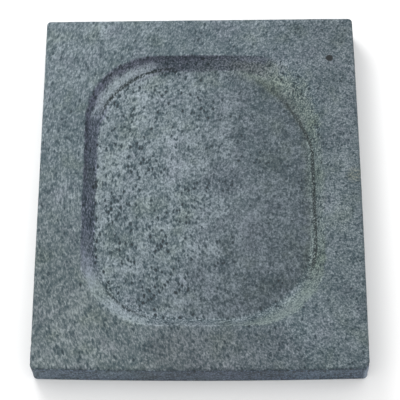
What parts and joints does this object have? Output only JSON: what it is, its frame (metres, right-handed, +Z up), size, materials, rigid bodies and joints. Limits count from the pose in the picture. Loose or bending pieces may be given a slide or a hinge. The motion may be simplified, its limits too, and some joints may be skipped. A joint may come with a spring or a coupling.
{
  "type": "granite slab",
  "caption": "Rectangular granite slab with a shallow round-cornered well ground into its top face, and a flat underside to rest on.",
  "frame": {"origin": "centre of the slab's flat underside", "axes": "+Z up out of the well, +Y along the slab's long side towards the edge that is further from the viewer, +X across the slab's width to the viewer's right"},
  "size_m": [0.25, 0.3, 0.025],
  "materials": {
    "granite": "ground, matt"
  },
  "bodies": {
    "root": {"granite_slab": "granite"}
  },
  "joints": []
}
